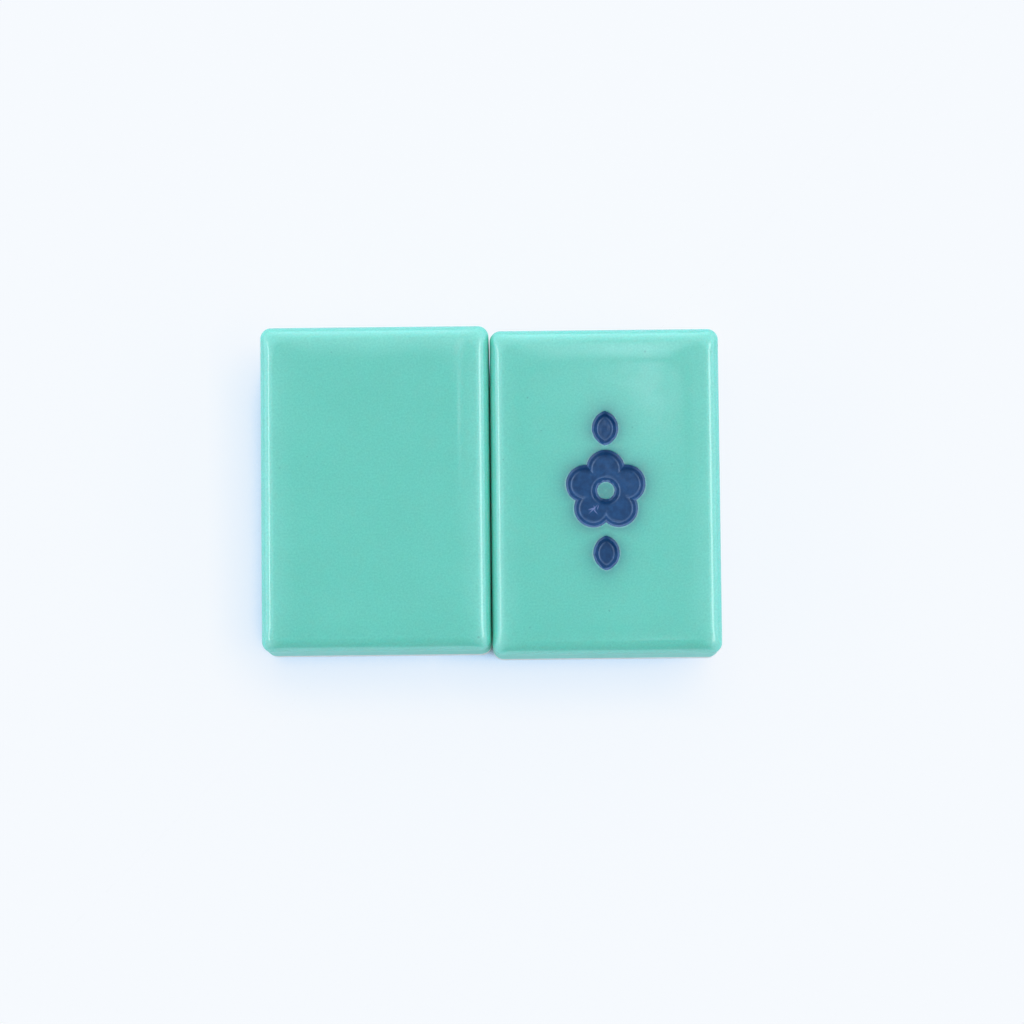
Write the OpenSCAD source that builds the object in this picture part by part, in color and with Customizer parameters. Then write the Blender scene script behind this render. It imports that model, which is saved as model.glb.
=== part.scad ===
// Pair of two-layer mahjong tiles, lying face down side by side.
// A tile is a coloured back bonded flat to a white face. Figures are sunk into its outer
// faces with sloping walls, and a thin coat of enamel lines the floor and walls of each.
// Millimetres, +Z up. The origin is on the table under the middle of the pair, with X across
// the two tiles and Y along them.

/* [Tile] */
// Width of one tile
tile_w = 21.1; // [18:0.1:28]
// Length of one tile
tile_l = 30; // [26:0.1:40]
// Thickness of the coloured back layer
back_t = 8.5; // [4:0.1:12]
// Thickness of the white face layer
face_t = 4; // [3:0.1:10]
// Radius of the upright corners, seen from above
corner_r = 1.8; // [1.2:0.1:3]
// Radius of the rounded edges round the back and round the face
edge_r = 1.4; // [0.6:0.1:2]

/* [Pair] */
// Gap between the two tiles
pair_gap = 0.1; // [0.05:0.05:3]
// How far the marked tile sits back from the plain one, along the length
pair_stagger = 0.5; // [0:0.05:3]

/* [Sunk figures] */
// Depth of a sunk figure below the tile's surface
sink_d = 0.8; // [0.5:0.05:1.2]
// Width of the sloping wall round a sunk figure, seen from above
wall_run = 0.5; // [0.25:0.05:0.55]
// Thickness of the enamel on the floor of a sunk figure
coat_floor = 0.14; // [0.08:0.02:0.3]
// Thickness of the enamel on the sloping walls, measured level
coat_wall = 0.1; // [0.05:0.01:0.15]
// How far the enamel's rim stays below the tile's surface
coat_drop = 0.04; // [0.02:0.01:0.1]

/* [Back ornament] */
// Radius of the blossom, centre to petal tip
blossom_r = 3.8; // [3.5:0.1:4.2]
// Radius of one round petal
petal_r = 1.8; // [1.7:0.05:2.1]
// Number of petals
petal_count = 5; // [5:1:7]
// Radius of the raised stud at the middle of the blossom
stud_r = 0.75; // [0.7:0.05:1.1]
// Length of a leaf, tip to tip
leaf_l = 3.3; // [2.8:0.1:4.5]
// Greatest width of a leaf
leaf_w = 2.5; // [1.9:0.1:2.7]
// Distance from the blossom's outer circle to the nearer tip of a leaf
leaf_gap = 0.3; // [0.2:0.05:1.5]

/* [Face figure] */
// Radius of a roundel, to the outer rim of its ring
ring_r = 4.5; // [4.2:0.1:5.2]
// Width of a roundel's ring
ring_w = 1.7; // [1.5:0.05:2]
// Radius of the dot at the middle of a roundel
dot_r = 1.7; // [1.3:0.05:2]
// Distance between the centres of the two roundels
roundel_step = 13; // [11:0.5:15]

/* [Hidden] */
$fn = 96;
// How far every cutting shape runs past the face that it cuts
overrun = 0.5;
// The edge rounding is limited by the corner that it runs round
edge_limit_share = 0.95;
rim_r = min(edge_r, edge_limit_share * corner_r);
tile_t = back_t + face_t;
// Level narrowing of a sloping wall for each millimetre of depth
wall_slope_share = wall_run / sink_d;
// The depth at which the enamel's open upper side ends
dish_d = sink_d - coat_floor;
petal_offset = blossom_r - petal_r;
// Two equal circles of this radius cross in the shape of a leaf
leaf_arc_r = (leaf_l * leaf_l + leaf_w * leaf_w) / (4 * leaf_w);
leaf_arc_offset = leaf_arc_r - leaf_w / 2;
leaf_offset = blossom_r + leaf_gap + leaf_l / 2;
tile_shift = (tile_w + pair_gap) / 2;
mint = [0.44, 0.80, 0.75];
ivory = [0.93, 0.92, 0.87];
navy = [0.17, 0.30, 0.49];
leaf_green = [0.10, 0.45, 0.28];
red = [0.72, 0.13, 0.12];

// Places: each tile stands on the table at its own place in the pair

module plain_place() {
    translate([-tile_shift, pair_stagger / 2, 0]) children();
}

module marked_place() {
    translate([tile_shift, -pair_stagger / 2, 0]) children();
}

// Puts a figure drawn on a level face at zero onto the tile's back
module on_back() {
    translate([0, 0, tile_t]) children();
}

// Puts a figure drawn on a level face at zero onto the tile's face, which points down
module on_face() {
    mirror([0, 0, 1]) children();
}

// Slabs: a flat block with round upright corners and one rounded rim

// Upright cut through a slab, square below and rounded above
module slab_section(span, height) {
    translate([-span / 2, 0]) square([span, height - rim_r]);
    translate([rim_r - span / 2, 0]) square([span - 2 * rim_r, height]);
    for (side = [-1, 1])
        translate([side * (span / 2 - rim_r), height - rim_r]) circle(rim_r);
}

module corner_post(height) {
    rotate_extrude()
        intersection() {
            slab_section(2 * corner_r, height);
            square([corner_r, height]);
        }
}

// The rounded rim is on top and the flat bonding face is at zero
module slab(height) {
    rotate([90, 0, 0])
        linear_extrude(tile_l - 2 * corner_r, center = true)
            slab_section(tile_w, height);
    rotate([90, 0, 90])
        linear_extrude(tile_w - 2 * corner_r, center = true)
            slab_section(tile_l, height);
    for (x = [-1, 1], y = [-1, 1])
        translate([x * (tile_w / 2 - corner_r), y * (tile_l / 2 - corner_r), 0])
            corner_post(height);
}

// Sunk shapes: drawn on a level face at zero, between two depths below it.
// A wall leans in with depth, and inset moves the whole wall in by a level distance.

module sunk_disc(radius, low, high, inset) {
    translate([0, 0, -low])
        cylinder(
            h = low - high,
            r1 = radius - inset - wall_slope_share * low,
            r2 = radius - inset - wall_slope_share * high
        );
}

// A stud left standing in a sunk shape, which widens with depth
module standing_stud(radius, low, high, inset) {
    translate([0, 0, -low])
        cylinder(
            h = low - high,
            r1 = radius + inset + wall_slope_share * low,
            r2 = radius + inset + wall_slope_share * high
        );
}

module sunk_ring(low, high, inset) {
    difference() {
        sunk_disc(ring_r, low, high, inset);
        standing_stud(ring_r - ring_w, low + overrun, high - overrun, inset);
    }
}

module sunk_dot(low, high, inset) {
    sunk_disc(dot_r, low, high, inset);
}

module sunk_leaf(low, high, inset) {
    intersection() {
        translate([-leaf_arc_offset, 0, 0]) sunk_disc(leaf_arc_r, low, high, inset);
        translate([leaf_arc_offset, 0, 0]) sunk_disc(leaf_arc_r, low, high, inset);
    }
}

module sunk_blossom(low, high, inset) {
    difference() {
        for (i = [0 : petal_count - 1])
            rotate([0, 0, 90 + i * 360 / petal_count])
                translate([petal_offset, 0, 0])
                    sunk_disc(petal_r, low, high, inset);
        standing_stud(stud_r, low + overrun, high - overrun, inset);
    }
}

// Places of the figures on their faces

module leaf_place(end) {
    translate([0, end * leaf_offset, 0]) children();
}

module roundel_place(end) {
    translate([0, end * roundel_step / 2, 0]) children();
}

// Layers of the tiles

module plain_back_slab() {
    color(mint)
        translate([0, 0, face_t])
            slab(back_t);
}

module marked_back_slab() {
    color(mint)
        difference() {
            translate([0, 0, face_t]) slab(back_t);
            on_back() {
                sunk_blossom(sink_d, -overrun, 0);
                for (end = [-1, 1])
                    leaf_place(end) sunk_leaf(sink_d, -overrun, 0);
            }
        }
}

module face_slab() {
    color(ivory)
        difference() {
            translate([0, 0, face_t]) mirror([0, 0, 1]) slab(face_t);
            on_face()
                for (end = [-1, 1])
                    roundel_place(end) {
                        sunk_ring(sink_d, -overrun, 0);
                        sunk_dot(sink_d, -overrun, 0);
                    }
        }
}

// Enamel linings: each fills its recess but for an open dish that follows the walls

module ring_enamel(end, tone) {
    color(tone)
        on_face()
            roundel_place(end)
                difference() {
                    sunk_ring(sink_d, coat_drop, 0);
                    sunk_ring(dish_d, -overrun, coat_wall);
                }
}

module dot_enamel(end) {
    color(red)
        on_face()
            roundel_place(end)
                difference() {
                    sunk_dot(sink_d, coat_drop, 0);
                    sunk_dot(dish_d, -overrun, coat_wall);
                }
}

module blossom_enamel() {
    color(navy)
        on_back()
            difference() {
                sunk_blossom(sink_d, coat_drop, 0);
                sunk_blossom(dish_d, -overrun, coat_wall);
            }
}

module leaf_enamel(end) {
    color(navy)
        on_back()
            leaf_place(end)
                difference() {
                    sunk_leaf(sink_d, coat_drop, 0);
                    sunk_leaf(dish_d, -overrun, coat_wall);
                }
}

plain_place() plain_back_slab();
plain_place() face_slab();  // plain_face_slab
plain_place() ring_enamel(1, leaf_green);  // plain_upper_ring
plain_place() dot_enamel(1);  // plain_upper_dot
plain_place() ring_enamel(-1, navy);  // plain_lower_ring
plain_place() dot_enamel(-1);  // plain_lower_dot
marked_place() marked_back_slab();
marked_place() face_slab();  // marked_face_slab
marked_place() ring_enamel(1, leaf_green);  // marked_upper_ring
marked_place() dot_enamel(1);  // marked_upper_dot
marked_place() ring_enamel(-1, navy);  // marked_lower_ring
marked_place() dot_enamel(-1);  // marked_lower_dot
marked_place() blossom_enamel();  // back_blossom
marked_place() leaf_enamel(1);  // back_upper_leaf
marked_place() leaf_enamel(-1);  // back_lower_leaf
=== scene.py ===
import math

import bmesh
import bpy
import numpy as np
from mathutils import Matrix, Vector, geometry


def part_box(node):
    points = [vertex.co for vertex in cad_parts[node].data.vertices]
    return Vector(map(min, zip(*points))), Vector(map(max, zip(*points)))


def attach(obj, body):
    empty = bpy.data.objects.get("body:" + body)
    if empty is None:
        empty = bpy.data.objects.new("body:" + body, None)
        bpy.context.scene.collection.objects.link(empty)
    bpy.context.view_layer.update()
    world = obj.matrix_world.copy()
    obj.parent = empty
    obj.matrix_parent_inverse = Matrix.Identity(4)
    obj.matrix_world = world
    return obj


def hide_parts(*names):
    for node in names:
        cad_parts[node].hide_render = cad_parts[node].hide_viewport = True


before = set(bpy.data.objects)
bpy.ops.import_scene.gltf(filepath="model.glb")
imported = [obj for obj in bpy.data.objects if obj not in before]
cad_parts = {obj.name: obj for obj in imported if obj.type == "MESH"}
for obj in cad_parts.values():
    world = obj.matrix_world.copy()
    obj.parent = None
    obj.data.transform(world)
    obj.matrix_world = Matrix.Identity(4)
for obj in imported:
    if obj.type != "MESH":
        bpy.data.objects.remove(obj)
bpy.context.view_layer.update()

MM = 0.001

# Sizes are in millimetres. The tiles' outer sizes and places come from the solids.

def box_mm(node):
    low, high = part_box(node)
    return low / MM, high / MM


def tile_middle(node):
    low, high = box_mm(node)
    return ((low.x + high.x) / 2, (low.y + high.y) / 2)


TILE_MIDDLES = {
    "plain_tile": tile_middle("plain_back_slab"),
    "marked_tile": tile_middle("marked_back_slab"),
}
back_low, back_high = box_mm("plain_back_slab")
TILE_W = back_high.x - back_low.x
TILE_L = back_high.y - back_low.y
BOND_Z = back_low.z
BACK_Z = back_high.z
FACE_Z = 0.0

# Rim of a tile: a round edge that a tumbling polish has rolled a little way into the flat. The corners
# are tighter on plan than the solids' own, as a tile's outline shows.
CORNER_R = 1.0
EDGE_R = 1.4
ROLL_TILT = math.radians(5)
ROLL_RUN = 2.0
CORNER_WEAR = 0.4
ROLL_CORNER_R = 2.8
FLAT_MARGIN = 0.3
SEAM_BEVEL = 0.03
EDGE_STEPS = 24
ROLL_STEPS = 10
CORNER_STEPS = 16

# Sunk figures: sloping walls with a softened rim, lined with flowed enamel
SINK_D = 0.8
WALL_RUN = 0.5
WALL_SLOPE = WALL_RUN / SINK_D
RIM_ROUND = 0.12
RIM_MARGIN = 0.12
COAT_FLOOR = 0.14
COAT_WALL = 0.1
COAT_RIM_D = 0.075
COAT_RIM_WANDER = 0.014
COAT_BUILD_D = 0.25
MENISCUS_R = 0.25
RIPPLE = 0.0008
RIPPLE_STEP = 1.5
FLOOR_RINGS = 8

# Back ornament: a blossom between two leaves
BLOSSOM_R = 3.8
PETAL_R = 1.8
PETAL_COUNT = 5
STUD_R = 0.75
LEAF_L = 3.3
LEAF_W = 2.5
LEAF_GAP = 0.3
NOTCH_SOFT = 0.04
CORE_R = 2.59
LEAF_Y = BLOSSOM_R + LEAF_GAP + LEAF_L / 2

# Face figure: two roundels, each a ring round a dot
RING_R = 4.5
RING_W = 1.7
DOT_R = 1.7
ROUNDEL_STEP = 13.0


# Meshes: loops of points in millimetres about the middle of a tile

def add_loop(bm, points):
    return [bm.verts.new(p) for p in points]


def bridge(bm, first, second):
    count = len(first)
    for i in range(count):
        j = (i + 1) % count
        bm.faces.new((first[i], first[j], second[j], second[i]))


def bridge_all(bm, loops, closed=False):
    for first, second in zip(loops, loops[1:]):
        bridge(bm, first, second)
    if closed:
        bridge(bm, loops[-1], loops[0])


def fan(bm, loop, tip):
    middle = bm.verts.new(tip)
    for i, vert in enumerate(loop):
        bm.faces.new((vert, loop[(i + 1) % len(loop)], middle))


def inside(point, loops):
    """Even-odd test: a loop inside another is a hole, and one inside a hole is land again."""
    crossings = 0
    for loop in loops:
        x, y = loop[:, 0], loop[:, 1]
        x2, y2 = np.roll(x, -1), np.roll(y, -1)
        straddles = (y > point[1]) != (y2 > point[1])
        run = np.where(straddles, y2 - y, 1.0)
        crossings += np.count_nonzero(straddles & (point[0] < x + (x2 - x) * (point[1] - y) / run))
    return crossings % 2 == 1


def fill_flat(bm, loops):
    """Closes the flat land between loops that lie in one level plane."""
    verts = [v for loop in loops for v in loop]
    edges = []
    start = 0
    for loop in loops:
        count = len(loop)
        edges += [(start + i, start + (i + 1) % count) for i in range(count)]
        start += count
    points = [Vector((v.co.x, v.co.y)) for v in verts]
    found = geometry.delaunay_2d_cdt(points, edges, [], 0, 1e-7)
    outlines = [np.array([(v.co.x, v.co.y) for v in loop]) for loop in loops]
    for corner_ids in found[2]:
        corners = [verts[found[3][i][0]] for i in corner_ids]
        centre = sum((c.co for c in corners), Vector()) / len(corners)
        if inside(centre, outlines):
            bm.faces.new(corners)


def corner_radius(inset):
    """Plan radius of a loop round the tile: polish has worn the corners rounder the further in."""
    edge_end = EDGE_R * (1 - math.sin(ROLL_TILT))
    if inset <= edge_end:
        return CORNER_R + CORNER_WEAR * inset
    share = (inset - edge_end) / (ROLL_RUN + FLAT_MARGIN)
    start = CORNER_R + CORNER_WEAR * edge_end
    return start + (ROLL_CORNER_R - start) * share


def tile_loop(inset, z):
    radius = corner_radius(inset)
    reach_x = TILE_W / 2 - inset - radius
    reach_y = TILE_L / 2 - inset - radius
    points = []
    for quarter, (side_x, side_y) in enumerate(((1, 1), (-1, 1), (-1, -1), (1, -1))):
        for step in range(CORNER_STEPS + 1):
            angle = math.pi / 2 * (quarter + step / CORNER_STEPS)
            points.append((
                side_x * reach_x + radius * math.cos(angle),
                side_y * reach_y + radius * math.sin(angle),
                z,
            ))
    return points


def rim_rows():
    """Side view of the rim from wall to flat: level distance from the wall, drop below the flat."""
    settle = ROLL_RUN * math.tan(ROLL_TILT) / 2
    arc_top = settle - EDGE_R * (1 - math.cos(ROLL_TILT))
    rows = []
    for step in range(EDGE_STEPS + 1):
        tilt = math.pi / 2 + (ROLL_TILT - math.pi / 2) * step / EDGE_STEPS
        rows.append((EDGE_R * (1 - math.sin(tilt)), arc_top + EDGE_R * (1 - math.cos(tilt))))
    arc_end = rows[-1][0]
    for step in range(1, ROLL_STEPS + 1):
        share = step / ROLL_STEPS
        rows.append((arc_end + ROLL_RUN * share, settle * (1 - share) ** 2))
    rows.append((arc_end + ROLL_RUN + FLAT_MARGIN, 0))
    return rows


def rounded(points, radius, steps=8):
    """A polyline of (inset, depth) points with its inner corners rounded to one radius."""
    out = [Vector(points[0])]
    for before, corner, after in zip(points, points[1:], points[2:]):
        corner = Vector(corner)
        back = (Vector(before) - corner).normalized()
        ahead = (Vector(after) - corner).normalized()
        half = back.angle(ahead) / 2
        reach = radius / math.tan(half)
        centre = corner + (back + ahead).normalized() * radius / math.sin(half)
        start = corner + back * reach - centre
        end = corner + ahead * reach - centre
        sweep = start.angle_signed(end)
        for step in range(steps + 1):
            turn = -sweep * step / steps
            cos, sin = math.cos(turn), math.sin(turn)
            out.append(centre + Vector((start.x * cos - start.y * sin, start.x * sin + start.y * cos)))
    out.append(Vector(points[-1]))
    return [tuple(p) for p in out]


def recess_rows():
    """Side view of a recess from the flat to its floor: inset from the outline, depth."""
    return rounded([(-RIM_MARGIN, 0), (0, 0), (WALL_RUN, SINK_D)], RIM_ROUND)


def lining_rows():
    """Side view of the enamel's open side: it thins out up the wall and pools at the floor."""
    dish_d = SINK_D - COAT_FLOOR
    foot = WALL_SLOPE * dish_d + COAT_WALL
    top = (WALL_SLOPE * COAT_RIM_D, COAT_RIM_D)
    full = (WALL_SLOPE * COAT_BUILD_D + COAT_WALL, COAT_BUILD_D)
    floor_start = (foot + MENISCUS_R, dish_d)
    return rounded([top, full, (foot, dish_d), floor_start], MENISCUS_R * 1.2, 12)


# Outlines of the sunk figures: distance from the figure's middle at each angle

def blossom_outline(angles, inset):
    radius = PETAL_R - inset
    offset = BLOSSOM_R - PETAL_R
    total = np.exp((CORE_R - inset) / NOTCH_SOFT) * (inset > WALL_RUN + COAT_WALL / 2)
    for petal in range(PETAL_COUNT):
        turn = angles - math.pi / 2 - petal * 2 * math.pi / PETAL_COUNT
        inside_root = radius ** 2 - (offset * np.sin(turn)) ** 2
        reach = offset * np.cos(turn) + np.sqrt(np.maximum(inside_root, 0))
        total += np.where(inside_root > 0, np.exp(reach / NOTCH_SOFT), 0)
    return NOTCH_SOFT * np.log(total)


def leaf_outline(angles, inset):
    arc_r = (LEAF_L ** 2 + LEAF_W ** 2) / (4 * LEAF_W)
    offset = arc_r - LEAF_W / 2
    root = np.sqrt((arc_r - inset) ** 2 - (offset * np.sin(angles)) ** 2)
    near = root - offset * np.cos(angles)
    far = root + offset * np.cos(angles)
    return -NOTCH_SOFT * np.log(np.exp(-near / NOTCH_SOFT) + np.exp(-far / NOTCH_SOFT))


def ring_outline(angles, inset):
    return np.full_like(angles, RING_R) - inset


def dot_outline(angles, inset):
    return np.full_like(angles, DOT_R) - inset


class Figure:
    """A sunk figure on one face: its outline about a middle, and a stud left standing in it, if any."""

    def __init__(self, outline, middle_y, surface_z, up, stud=None, steps=360):
        self.outline = outline
        self.middle_y = middle_y
        self.surface_z = surface_z
        self.up = up
        self.stud = stud
        self.angles = np.linspace(0, 2 * math.pi, steps, endpoint=False)

    def place(self, radii, depth):
        x = radii * np.cos(self.angles)
        y = self.middle_y + radii * np.sin(self.angles)
        z = self.surface_z - self.up * (depth + np.zeros_like(x))
        return np.column_stack((x, y, z))

    def outer(self, inset, depth):
        return self.place(self.outline(self.angles, inset), depth)

    def inner(self, inset, depth):
        return self.place(self.stud + inset + np.zeros_like(self.angles), depth)

    def middle(self, depth):
        return (0, self.middle_y, self.surface_z - self.up * depth)


def add_recess(bm, figure):
    """Cuts a figure's walls and floor, and gives the loops where it meets the flat."""
    rows = recess_rows()
    outer = [add_loop(bm, figure.outer(*row)) for row in rows]
    bridge_all(bm, outer)
    if figure.stud is None:
        bm.faces.new(outer[-1])
        return [outer[0]]
    inner = [add_loop(bm, figure.inner(*row)) for row in rows]
    bridge_all(bm, inner)
    bridge(bm, outer[-1], inner[-1])
    return [outer[0], inner[0]]


def ripple(points):
    """Small waves that flowed enamel sets with."""
    x, y = points[:, 0] / RIPPLE_STEP, points[:, 1] / RIPPLE_STEP
    wave = np.sin(2 * math.pi * (x + 0.3 * y)) * np.sin(2 * math.pi * (0.8 * y - 0.2 * x) + 1)
    return RIPPLE * (wave + 0.5 * np.sin(2 * math.pi * (1.7 * x - 1.3 * y)))


def add_lining(bm, figure):
    """Enamel that lines a figure's walls and floor, closed against the recess behind it."""
    wander = COAT_RIM_WANDER * (np.sin(5 * figure.angles + 1) + np.sin(11 * figure.angles))
    rows = lining_rows()
    shares = np.linspace(1, 0, len(rows))

    def open_side(side):
        loops = []
        for (inset, depth), share in zip(rows, shares):
            lift = wander * share ** 3
            loops.append(side(inset + WALL_SLOPE * lift, depth + lift))
        return loops

    def floor_between(start, end):
        loops = []
        for step in range(1, FLOOR_RINGS):
            share = step / FLOOR_RINGS
            points = start * (1 - share) + end * share
            points[:, 2] += ripple(points) * min(1, 3 * share, 3 * (1 - share) + (figure.stud is None))
            loops.append(points)
        return loops

    outer = open_side(figure.outer)
    behind = [figure.outer(WALL_RUN, SINK_D)]
    if figure.stud is None:
        tip = np.array(figure.middle(rows[-1][1]))
        sheet = outer + floor_between(outer[-1], np.tile(tip, (len(outer[-1]), 1)))
        open_loops = [add_loop(bm, points) for points in sheet]
        bridge_all(bm, open_loops)
        tip[2] += ripple(tip[None, :])[0]
        fan(bm, open_loops[-1], tip)
        back_loop = add_loop(bm, behind[0])
        bridge(bm, open_loops[0], back_loop)
        bm.faces.new(back_loop)
        return
    inner = open_side(figure.inner)
    behind.insert(0, figure.inner(WALL_RUN, SINK_D))
    sheet = outer + floor_between(outer[-1], inner[-1]) + inner[::-1] + behind
    bridge_all(bm, [add_loop(bm, points) for points in sheet], closed=True)


def add_slab(bm, bond_z, rim_z, figures):
    """One layer of a tile: a bond face, walls, a rolled rim and a flat with its recesses."""
    up = 1 if rim_z > bond_z else -1
    outlines = [tile_loop(SEAM_BEVEL, bond_z), tile_loop(0, bond_z + up * SEAM_BEVEL)]
    outlines += [tile_loop(inset, rim_z - up * drop) for inset, drop in rim_rows()]
    loops = [add_loop(bm, points) for points in outlines]
    bridge_all(bm, loops)
    bm.faces.new(loops[0])
    edges_of_flat = [loops[-1]]
    for figure in figures:
        edges_of_flat += add_recess(bm, figure)
    fill_flat(bm, edges_of_flat)


def make_piece(name, node, body, material, slot, build, *args):
    """Builds one piece about its tile's middle and stands it in for a solid of the same shape."""
    bm = bmesh.new()
    build(bm, *args)
    bmesh.ops.recalc_face_normals(bm, faces=bm.faces)
    shift = Vector((*TILE_MIDDLES[body], 0))
    for vert in bm.verts:
        vert.co = (vert.co + shift) * MM
    mesh = bpy.data.meshes.new(name)
    bm.to_mesh(mesh)
    bm.free()
    mesh.polygons.foreach_set("use_smooth", [True] * len(mesh.polygons))
    mesh.set_sharp_from_angle(angle=math.radians(40))
    mesh.materials.append(material)
    piece = bpy.data.objects.new(name, mesh)
    bpy.context.scene.collection.objects.link(piece)
    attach(piece, body)
    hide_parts(node)


# Materials

NAVY = "#153D66"

# Painted shade round the filled figures, tinted navy: how far it reaches, and its share at the rim
HALO_SHADE_REACH = 0.7
HALO_SHADE_SHARE = 0.45

# The paper as the camera sees it, in linear colour: what follows the light, and what stays. Near the
# tiles a painted shadow dims what stays: how much sky is in reach on the key light's side sets how much
# of its red is left.
PAPER_SHADE = (0.12, 0.07, 0.01)
PAPER_GLOW = (0.81, 0.882, 0.982)
PAPER_PAINTED_SHADOW = (
    (0.3, 0), (0.42, 0.54), (0.48, 0.77), (0.54, 0.85), (0.68, 0.91), (0.85, 0.97), (1, 1))
PAINTED_SHADOW_SIDE = (0.7, 0.5, 0.5)
PAINTED_SHADOW_REACH = 6
# Painted shade: the near-black glow the camera sees on the paper between the tiles and under their
# edges
CREVICE_PAINTED_SHADE = (0.0, 0.02, 0.01)

# A colour mix's sockets: its two colours and its result
COLOUR_A, COLOUR_B, MIXED = 6, 7, 2


def linear(hex_colour):
    """sRGB hex to the linear colour that the shaders take."""
    values = [int(hex_colour[i:i + 2], 16) / 255 for i in (1, 3, 5)]
    return (*[v / 12.92 if v <= 0.04045 else ((v + 0.055) / 1.055) ** 2.4 for v in values], 1)


def per_mm(size_mm):
    """Texture scale at which one wave or cell is this many millimetres."""
    return 1 / (size_mm * MM)


def add_node(tree, kind, inputs=None, **settings):
    """Adds a node, sets its properties, and sets each input to a value or links it to a socket."""
    node = tree.nodes.new(kind)
    for name, value in settings.items():
        setattr(node, name, value)
    for name, value in (inputs or {}).items():
        if isinstance(value, bpy.types.NodeSocket):
            tree.links.new(value, node.inputs[name])
        else:
            node.inputs[name].default_value = value
    return node


def add_ramp(tree, share, stops):
    """Adds a colour ramp over a share from 0 to 1. Each stop is a place and a linear colour."""
    node = add_node(tree, "ShaderNodeValToRGB", {"Fac": share})
    elements = node.color_ramp.elements
    for element, (place, colour) in zip(elements, (stops[0], stops[-1])):
        element.position = place
        element.color = (*colour, 1)
    for place, colour in stops[1:-1]:
        elements.new(place).color = (*colour, 1)
    return node


def soft_oval(tree, vector, middle, half, turn=0):
    """Share that falls smoothly from 1 in the middle of an oval to 0 at its rim."""
    local = add_node(tree, "ShaderNodeMapping", {
        "Vector": vector, "Location": middle, "Rotation": (0, 0, turn), "Scale": half},
        vector_type="TEXTURE")
    length = add_node(tree, "ShaderNodeVectorMath", {0: local.outputs[0]}, operation="LENGTH")
    return add_node(tree, "ShaderNodeMapRange", {
        "Value": length.outputs["Value"], "To Min": 1, "To Max": 0},
        interpolation_type="SMOOTHSTEP").outputs[0]


def new_material(name):
    material = bpy.data.materials.new(name)
    material.use_nodes = True
    material.node_tree.nodes.clear()
    return material, material.node_tree


def painted_halo_shade(tree, place, spots):
    """Share of painted shade on the surface beside filled figures, fading away from them. The figures
    are
    round spots on plan: x, y and radius in millimetres."""
    plan = add_node(tree, "ShaderNodeVectorMath", {0: place, 1: (1, 1, 0)}, operation="MULTIPLY")
    nearest = 1.0
    for x, y, radius in spots:
        away = add_node(tree, "ShaderNodeVectorMath", {
            0: plan.outputs[0], 1: (x * MM, y * MM, 0)}, operation="DISTANCE")
        edge = add_node(tree, "ShaderNodeMath", {
            0: away.outputs["Value"], 1: radius * MM}, operation="SUBTRACT")
        nearest = add_node(tree, "ShaderNodeMath", {
            0: edge.outputs[0], 1: nearest}, operation="MINIMUM").outputs[0]
    outside = add_node(tree, "ShaderNodeMath", {0: nearest, 1: 0}, operation="MAXIMUM")
    fall = add_node(tree, "ShaderNodeMath", {
        0: outside.outputs[0], 1: -per_mm(HALO_SHADE_REACH)}, operation="MULTIPLY")
    fade = add_node(tree, "ShaderNodeMath", {0: fall.outputs[0]}, operation="EXPONENT")
    return add_node(tree, "ShaderNodeMath", {
        0: fade.outputs[0], 1: HALO_SHADE_SHARE}, operation="MULTIPLY").outputs[0]


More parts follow.
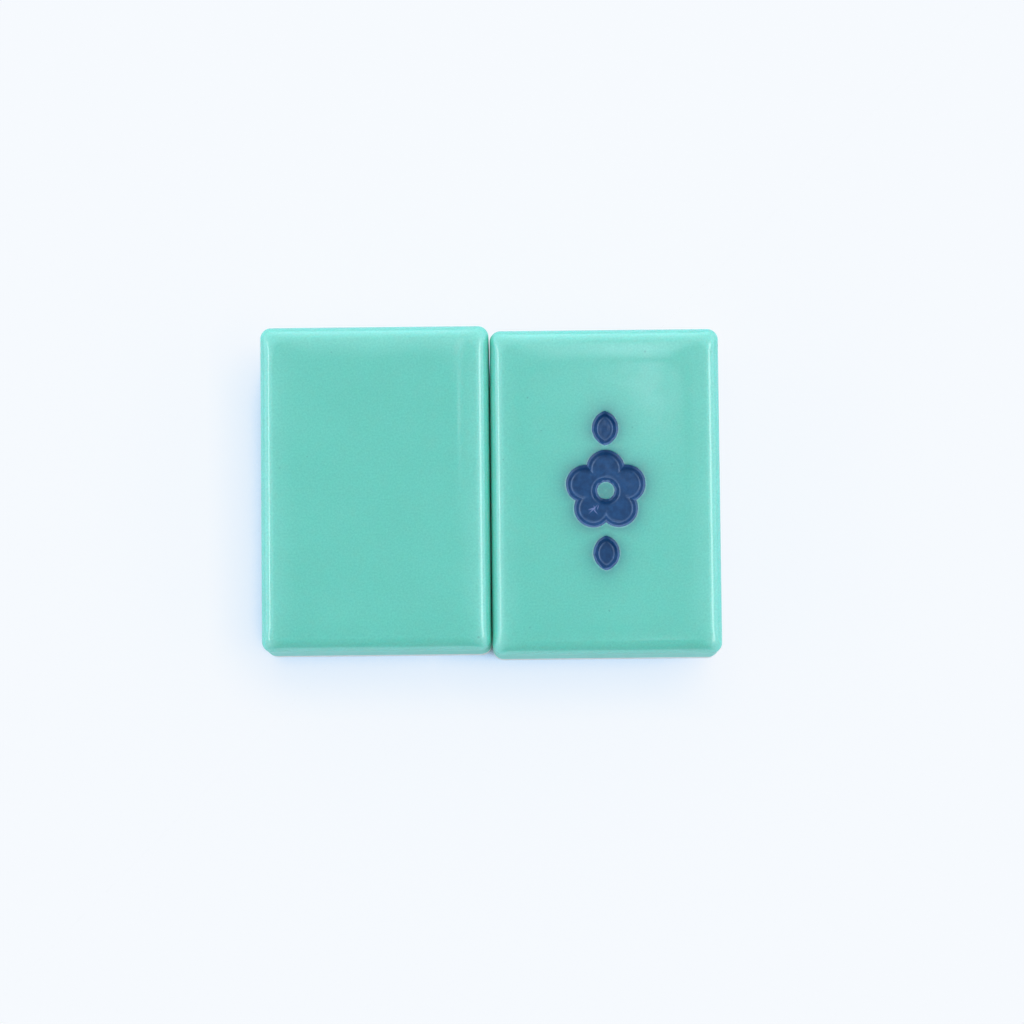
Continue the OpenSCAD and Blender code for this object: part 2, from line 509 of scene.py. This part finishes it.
def moulded_melamine(name, body_hex, shade_hex, speck_hex, wall_shade_hex, glow_reach,
                     halo_shade_hex=None, spots=()):
    """Melamine pressed in a polished mould, tumbled and waxed: hard gloss over a faintly clouded body
    that lets a little light through, with fine filler grain, a rare dark speck and a slight orange
    peel in its reflections. Its walls miss the polish, so they are matt, and a painted shade turns them
    a deeper colour. Sunk figures given as spots get a painted shade round them in the halo shade
    colour."""
    material, tree = new_material(name)
    coordinates = add_node(tree, "ShaderNodeTexCoord")
    place = coordinates.outputs["Object"]
    cloud = add_node(tree, "ShaderNodeTexNoise", {
        "Vector": place, "Scale": per_mm(7), "Detail": 3, "Roughness": 0.6})
    # The filler's grain is finer than 0.05 mm, and is drawn as coarse as it needs to show
    grain = add_node(tree, "ShaderNodeTexNoise", {
        "Vector": place, "Scale": per_mm(0.16), "Detail": 1, "Roughness": 0.6})
    tone = add_node(tree, "ShaderNodeMath", {
        0: grain.outputs["Fac"], 1: 3, 2: cloud.outputs["Fac"]}, operation="MULTIPLY_ADD")
    tone_share = add_node(tree, "ShaderNodeMapRange", {
        "Value": tone.outputs[0], "From Min": 1.25, "From Max": 2.75})
    body = add_node(tree, "ShaderNodeMix", {
        0: tone_share.outputs[0], COLOUR_A: linear(shade_hex), COLOUR_B: linear(body_hex)},
        data_type="RGBA")
    # Specks of up to 0.1 mm, at most one to each cell of 1.2 mm and none in most
    cells = add_node(tree, "ShaderNodeTexVoronoi", {
        "Vector": place, "Scale": per_mm(1.2), "Randomness": 1})
    cell_pick = add_node(tree, "ShaderNodeSeparateColor", {"Color": cells.outputs["Color"]})
    speck_r = add_node(tree, "ShaderNodeMapRange", {
        "Value": cell_pick.outputs[0], "From Min": 0.75, "From Max": 1, "To Min": 0, "To Max": 0.09})
    speck = add_node(tree, "ShaderNodeMath", {
        0: speck_r.outputs[0], 1: cells.outputs["Distance"]}, operation="GREATER_THAN")
    speck_share = add_node(tree, "ShaderNodeMath", {0: speck.outputs[0], 1: 0.25}, operation="MULTIPLY")
    colour = add_node(tree, "ShaderNodeMix", {
        0: speck_share.outputs[0], COLOUR_A: body.outputs[MIXED], COLOUR_B: linear(speck_hex)},
        data_type="RGBA")
    # Painted shade round the sunk figures, tinted navy
    if spots:
        colour = add_node(tree, "ShaderNodeMix", {
            0: painted_halo_shade(tree, place, spots), COLOUR_A: colour.outputs[MIXED],
            COLOUR_B: linear(halo_shade_hex)}, data_type="RGBA")
    facing = add_node(tree, "ShaderNodeSeparateXYZ", {0: coordinates.outputs["Normal"]})
    level = add_node(tree, "ShaderNodeMath", {0: facing.outputs["Z"]}, operation="ABSOLUTE")
    # Painted shade: walls take a deeper colour the more upright they stand
    painted_wall_shade = add_node(tree, "ShaderNodeMapRange", {
        "Value": level.outputs[0], "From Min": 0.05, "From Max": 0.4, "To Min": 0.55, "To Max": 0})
    colour = add_node(tree, "ShaderNodeMix", {
        0: painted_wall_shade.outputs[0], COLOUR_A: colour.outputs[MIXED], COLOUR_B: linear(wall_shade_hex)},
        data_type="RGBA")
    wipe = add_node(tree, "ShaderNodeTexNoise", {
        "Vector": place, "Scale": per_mm(3.5), "Detail": 4, "Roughness": 0.6})
    gloss = add_node(tree, "ShaderNodeMapRange", {
        "Value": wipe.outputs["Fac"], "From Min": 0.3, "From Max": 0.7,
        "To Min": 0.06, "To Max": 0.11})
    wall_rough = add_node(tree, "ShaderNodeMapRange", {
        "Value": level.outputs[0], "From Min": 0.05, "From Max": 0.35, "To Min": 0.6, "To Max": 0})
    rough = add_node(tree, "ShaderNodeMath", {
        0: gloss.outputs[0], 1: wall_rough.outputs[0]}, operation="ADD")
    peel = add_node(tree, "ShaderNodeTexNoise", {
        "Vector": place, "Scale": per_mm(1.1), "Detail": 2, "Roughness": 0.5})
    peel_bump = add_node(tree, "ShaderNodeBump", {
        "Height": peel.outputs["Fac"], "Strength": 0.35, "Distance": 0.01 * MM})
    shader = add_node(tree, "ShaderNodeBsdfPrincipled", {
        "Base Color": colour.outputs[MIXED], "Roughness": rough.outputs[0], "IOR": 1.68,
        "Specular IOR Level": 1, "Subsurface Weight": 1, "Subsurface Scale": 1 * MM,
        "Subsurface Radius": glow_reach, "Sheen Weight": 0.18, "Sheen Roughness": 0.3,
        "Sheen Tint": (0.7, 0.92, 1, 1), "Normal": peel_bump.outputs["Normal"]})
    add_node(tree, "ShaderNodeOutputMaterial", {"Surface": shader.outputs[0]})
    return material


def flowed_enamel(name, body_hex, thin_hex, shine_hex="#FFFFFF", glint_hex=None, glints=()):
    """Enamel paint flowed into a recess: wet gloss, a little thinner and paler in places, with
    fine brush drag in its skin, and pale strokes of painted glint, a painted highlight. Each glint is a
    place, a turn in degrees, a half length and a half width, in millimetres."""
    material, tree = new_material(name)
    place = add_node(tree, "ShaderNodeTexCoord").outputs["Object"]
    pool = add_node(tree, "ShaderNodeTexNoise", {
        "Vector": place, "Scale": per_mm(0.6), "Detail": 4, "Roughness": 0.6})
    pool_share = add_node(tree, "ShaderNodeMapRange", {
        "Value": pool.outputs["Fac"], "From Min": 0.35, "From Max": 0.75})
    colour = add_node(tree, "ShaderNodeMix", {
        0: pool_share.outputs[0], COLOUR_A: linear(body_hex), COLOUR_B: linear(thin_hex)},
        data_type="RGBA")
    # Painted highlight: each glint mixes a pale colour into the enamel
    for x, y, turn, half_length, half_width in glints:
        share = soft_oval(tree, place, (x * MM, y * MM, BACK_Z * MM),
                          (half_length * MM, half_width * MM, 1), math.radians(turn))
        colour = add_node(tree, "ShaderNodeMix", {
            0: share, COLOUR_A: colour.outputs[MIXED], COLOUR_B: linear(glint_hex)},
            data_type="RGBA")
    gloss = add_node(tree, "ShaderNodeMapRange", {
        "Value": pool.outputs["Fac"], "To Min": 0.03, "To Max": 0.09})
    drag = add_node(tree, "ShaderNodeTexNoise", {
        "Vector": place, "Scale": per_mm(0.5), "Detail": 3, "Roughness": 0.5})
    drag_bump = add_node(tree, "ShaderNodeBump", {
        "Height": drag.outputs["Fac"], "Strength": 0.4, "Distance": 0.003 * MM})
    shader = add_node(tree, "ShaderNodeBsdfPrincipled", {
        "Base Color": colour.outputs[MIXED], "Roughness": gloss.outputs[0], "IOR": 1.57,
        "Specular IOR Level": 0.85, "Specular Tint": linear(shine_hex),
        "Normal": drag_bump.outputs["Normal"]})
    add_node(tree, "ShaderNodeOutputMaterial", {"Surface": shader.outputs[0]})
    return material


def pale_paper():
    """Smooth white paper under the tiles. The camera sees it just under white. Near the tiles its
    shadow is partly lit and mostly a painted shadow, turned cool, and light that bounces off it is a
    little cool too. Deep crevices get a near-black painted shade."""
    material, tree = new_material("pale_paper")
    place = add_node(tree, "ShaderNodeTexCoord").outputs["Object"]
    # Paper fibre is finer than 0.05 mm, and is drawn as coarse as it needs to show
    fibre = add_node(tree, "ShaderNodeTexNoise", {
        "Vector": place, "Scale": per_mm(0.8), "Detail": 3, "Roughness": 0.6})
    sheet = add_node(tree, "ShaderNodeMix", {
        0: fibre.outputs["Fac"], COLOUR_A: (0.80, 0.87, 0.93, 1), COLOUR_B: (0.84, 0.91, 0.97, 1)},
        data_type="RGBA")
    bounce = add_node(tree, "ShaderNodeBsdfDiffuse", {"Color": sheet.outputs[MIXED]})
    shade = add_node(tree, "ShaderNodeBsdfDiffuse", {"Color": (*PAPER_SHADE, 1)})
    shadow_side_vector = add_node(tree, "ShaderNodeCombineXYZ", dict(enumerate(PAINTED_SHADOW_SIDE)))
    shadow_sky = add_node(tree, "ShaderNodeAmbientOcclusion", {
        "Distance": PAINTED_SHADOW_REACH * MM, "Normal": shadow_side_vector.outputs[0]}, samples=32)
    # Painted shadow: the glow follows how much sky is in reach, and is near black in crevices
    stops = []
    for sky, red in PAPER_PAINTED_SHADOW:
        tint = (red, (1 + red) / 2, 0.92 + 0.08 * red)
        stops.append((sky, [g * t for g, t in zip(PAPER_GLOW, tint)] if red else CREVICE_PAINTED_SHADE))
    painted_shadow_ramp = add_ramp(tree, shadow_sky.outputs["AO"], stops)
    glow = add_node(tree, "ShaderNodeEmission", {"Color": painted_shadow_ramp.outputs["Color"], "Strength": 1})
    seen = add_node(tree, "ShaderNodeAddShader", {0: shade.outputs[0], 1: glow.outputs[0]})
    path = add_node(tree, "ShaderNodeLightPath")
    mix = add_node(tree, "ShaderNodeMixShader", {
        0: path.outputs["Is Camera Ray"], 1: bounce.outputs[0], 2: seen.outputs[0]})
    add_node(tree, "ShaderNodeOutputMaterial", {"Surface": mix.outputs[0]})
    return material


def figure_spots():
    """The back ornament as round spots for the painted shade round it: the petals, and three spots
    along each leaf.
    """
    x, y = TILE_MIDDLES["marked_tile"]
    spots = []
    offset = BLOSSOM_R - PETAL_R
    for petal in range(PETAL_COUNT):
        turn = math.pi / 2 + petal * 2 * math.pi / PETAL_COUNT
        spots.append((x + offset * math.cos(turn), y + offset * math.sin(turn), PETAL_R))
    for leaf_middle in (LEAF_Y, -LEAF_Y):
        for along, radius in ((-0.28, 0.25), (0, 0.5), (0.28, 0.25)):
            spots.append((x, y + leaf_middle + along * LEAF_L, radius * LEAF_W))
    return spots


# The fifth colour of each is its painted wall shade; the mint also gets a navy painted shade round the
# back figures
mint = moulded_melamine(
    "mint_melamine", "#78DAC3", "#6ECEB7", "#2E5A52", "#35BD94", (0.2, 1.0, 0.9), NAVY, figure_spots())
ivory = moulded_melamine("ivory_melamine", "#F1EEE4", "#EAE6DA", "#8A8272", "#E4DFD0", (1.0, 0.9, 0.8))

# A painted glint of five pale strokes, a painted highlight, on the floor of the blossom's lower left
# petal
glint_x = TILE_MIDDLES["marked_tile"][0] - 1.15
glint_y = TILE_MIDDLES["marked_tile"][1] - 1.65
navy = flowed_enamel("navy_enamel", NAVY, "#205282", "#CFE6FF", "#7C8BBA", (
    (glint_x, glint_y, 45, 0.75, 0.09),
    (glint_x + 0.15, glint_y - 0.2, -50, 0.5, 0.07),
    (glint_x - 0.15, glint_y + 0.02, 15, 0.45, 0.1),
    (glint_x + 0.42, glint_y + 0.15, 70, 0.35, 0.06),
    (glint_x + 0.1, glint_y + 0.1, 105, 0.35, 0.08)))
green = flowed_enamel("green_enamel", "#1B6A40", "#2A7B4E")
red = flowed_enamel("red_enamel", "#B32A24", "#C2382F")


# Pieces: the two layers of each tile and the enamel in its figures

blossom = Figure(blossom_outline, 0, BACK_Z, 1, STUD_R, 720)
upper_leaf = Figure(leaf_outline, LEAF_Y, BACK_Z, 1)
lower_leaf = Figure(leaf_outline, -LEAF_Y, BACK_Z, 1)
ends = {"upper": ROUNDEL_STEP / 2, "lower": -ROUNDEL_STEP / 2}
rings = {end: Figure(ring_outline, y, FACE_Z, -1, RING_R - RING_W) for end, y in ends.items()}
dots = {end: Figure(dot_outline, y, FACE_Z, -1, steps=180) for end, y in ends.items()}
face_figures = [*rings.values(), *dots.values()]
ring_paint = {"upper": (green, "green_enamel"), "lower": (navy, "navy_enamel")}

for tile, body, back_figures in (
    ("plain", "plain_tile", []),
    ("marked", "marked_tile", [blossom, upper_leaf, lower_leaf]),
):
    make_piece(f"{tile}_back", f"{tile}_back_slab", body, mint, "mint_melamine",
               add_slab, BOND_Z, BACK_Z, back_figures)
    make_piece(f"{tile}_face", f"{tile}_face_slab", body, ivory, "white_melamine",
               add_slab, BOND_Z, FACE_Z, face_figures)
    for end in ends:
        make_piece(f"{tile}_{end}_ring_paint", f"{tile}_{end}_ring", body, *ring_paint[end],
                   add_lining, rings[end])
        make_piece(f"{tile}_{end}_dot_paint", f"{tile}_{end}_dot", body, red, "red_enamel",
                   add_lining, dots[end])
for name, figure in (("blossom", blossom), ("upper_leaf", upper_leaf), ("lower_leaf", lower_leaf)):
    make_piece(f"{name}_paint", f"back_{name}", "marked_tile", navy, "navy_enamel", add_lining, figure)


# Floor, lights and camera

# Cool daylight, a little cooler still towards the horizon
LIGHT_TINT = (0.92, 1.0, 1.14)
HORIZON_COOL = 0.06

# Radiance of the dome to each side: a direction, then levels by the sine of the angle from straight up
DOME_SIDES = (
    ((0, 1, 0), (
        (0, 0.24), (0.1, 0.3), (0.2, 0.6), (0.27, 0.92),
        (0.5, 1.05), (0.72, 1.2), (0.89, 1.5), (1, 1.8))),
    ((-0.95, 0.31, 0), (
        (0, 0.22), (0.1, 0.4), (0.2, 0.58), (0.35, 0.8), (0.45, 1.05), (0.75, 1.2), (1, 1.6))),
    ((0.95, 0.31, 0), (
        (0, 0.26), (0.03, 0.34), (0.08, 0.42), (0.15, 0.6),
        (0.35, 0.85), (0.45, 1.1), (0.6, 1.2), (1, 1.4))),
    ((0, -1, 0), ((0, 0.24), (0.1, 0.3), (0.3, 0.3), (1, 0.22))),
)
# Soft glows on the dome: middle and half size, in sines towards +X and +Y, and radiance
DOME_GLOWS = (
    ((0.031, 0.112), (0.014, 0.030), 1.5),
    ((0.028, 0.22), (0.020, 0.12), 1.3),
    ((0.037, -0.16), (0.008, 0.14), 1.2),
)
BACKDROP = (0.92, 0.947, 0.99)

# The floor's side and the camera's place, in metres, and the camera's turn in degrees
FLOOR_SIZE = 4.0
CAMERA_PLACE = (0.00225, -0.03332, 0.39821)
CAMERA_TURN = (4.62, 0.091, -0.597)
CAMERA_LENS = 148.2
CAMERA_SENSOR = 36

floor_mesh = bpy.data.meshes.new("floor")
floor_half = FLOOR_SIZE / 2
floor_mesh.from_pydata(
    [(-floor_half, -floor_half, 0), (floor_half, -floor_half, 0),
     (floor_half, floor_half, 0), (-floor_half, floor_half, 0)], [], [(0, 1, 2, 3)])
floor_mesh.materials.append(pale_paper())
floor = bpy.data.objects.new("floor", floor_mesh)
bpy.context.scene.collection.objects.link(floor)


def softbox(name, heading, tilt, distance, width, depth, radiance):
    """A soft panel aimed at the pair. Heading turns from +X to +Y, tilt is from straight up, both in
    degrees; width runs level and depth towards straight up, in metres."""
    heading, tilt = math.radians(heading), math.radians(tilt)
    lamp = bpy.data.lights.new(name, "AREA")
    lamp.shape = "RECTANGLE"
    lamp.size, lamp.size_y = width, depth
    lamp.energy = radiance * math.pi * width * depth
    panel = bpy.data.objects.new(name, lamp)
    direction = Vector((math.sin(tilt) * math.cos(heading), math.sin(tilt) * math.sin(heading),
                        math.cos(tilt)))
    panel.location = direction * distance
    panel.rotation_euler = (0, tilt, heading)
    panel.rotation_euler.rotate_axis("Z", math.pi / 2)
    panel.visible_camera = False
    bpy.context.scene.collection.objects.link(panel)


softbox("west_strip", 180, 52, 1.0, 0.9, 0.13, 2.0)
softbox("east_strip", 0, 46, 1.0, 0.9, 0.26, 1.5)


def studio_dome(sides, glows, background):
    """A white dome, dim overhead. Each side is a direction and its radiance by how far over to that
    side, as the sine of the angle; where sides meet the brighter one holds. Each glow is a soft
    patch: its middle and half size on plan, in sines towards +X and +Y, and its radiance."""
    world = bpy.data.worlds.new("studio_dome")
    bpy.context.scene.world = world
    world.use_nodes = True
    tree = world.node_tree
    tree.nodes.clear()
    direction = add_node(tree, "ShaderNodeTexCoord").outputs["Generated"]
    light = (0, 0, 0, 1)
    for towards, stops in sides:
        reach = add_node(tree, "ShaderNodeVectorMath", {
            0: direction, 1: towards}, operation="DOT_PRODUCT")
        tinted = []
        for sine, level in stops:
            cool = HORIZON_COOL * sine ** 3
            tint = (LIGHT_TINT[0] * (1 - cool), LIGHT_TINT[1], LIGHT_TINT[2] * (1 + cool))
            tinted.append((sine, [level * t for t in tint]))
        ramp = add_ramp(tree, reach.outputs["Value"], tinted)
        light = add_node(tree, "ShaderNodeMix", {
            0: 1, COLOUR_A: light, COLOUR_B: ramp.outputs["Color"]},
            data_type="RGBA", blend_type="LIGHTEN").outputs[MIXED]
    for middle, half, radiance in glows:
        share = soft_oval(tree, direction, (*middle, 0), (*half, 1e6))
        light = add_node(tree, "ShaderNodeMix", {
            0: share, COLOUR_A: light, COLOUR_B: [radiance * t for t in (*LIGHT_TINT, 1)]},
            data_type="RGBA", blend_type="ADD").outputs[MIXED]
    dome = add_node(tree, "ShaderNodeBackground", {"Color": light, "Strength": 1})
    backdrop = add_node(tree, "ShaderNodeBackground", {"Color": (*background, 1), "Strength": 1})
    path = add_node(tree, "ShaderNodeLightPath")
    mix = add_node(tree, "ShaderNodeMixShader", {
        0: path.outputs["Is Camera Ray"], 1: dome.outputs[0], 2: backdrop.outputs[0]})
    add_node(tree, "ShaderNodeOutputWorld", {"Surface": mix.outputs[0]})


studio_dome(DOME_SIDES, DOME_GLOWS, BACKDROP)

camera_data = bpy.data.cameras.new("camera")
camera_data.sensor_width = CAMERA_SENSOR
camera_data.lens = CAMERA_LENS
camera = bpy.data.objects.new("camera", camera_data)
camera.location = CAMERA_PLACE
camera.rotation_euler = [math.radians(turn) for turn in CAMERA_TURN]
bpy.context.scene.collection.objects.link(camera)
bpy.context.scene.camera = camera
bpy.context.scene.view_settings.view_transform = "Standard"
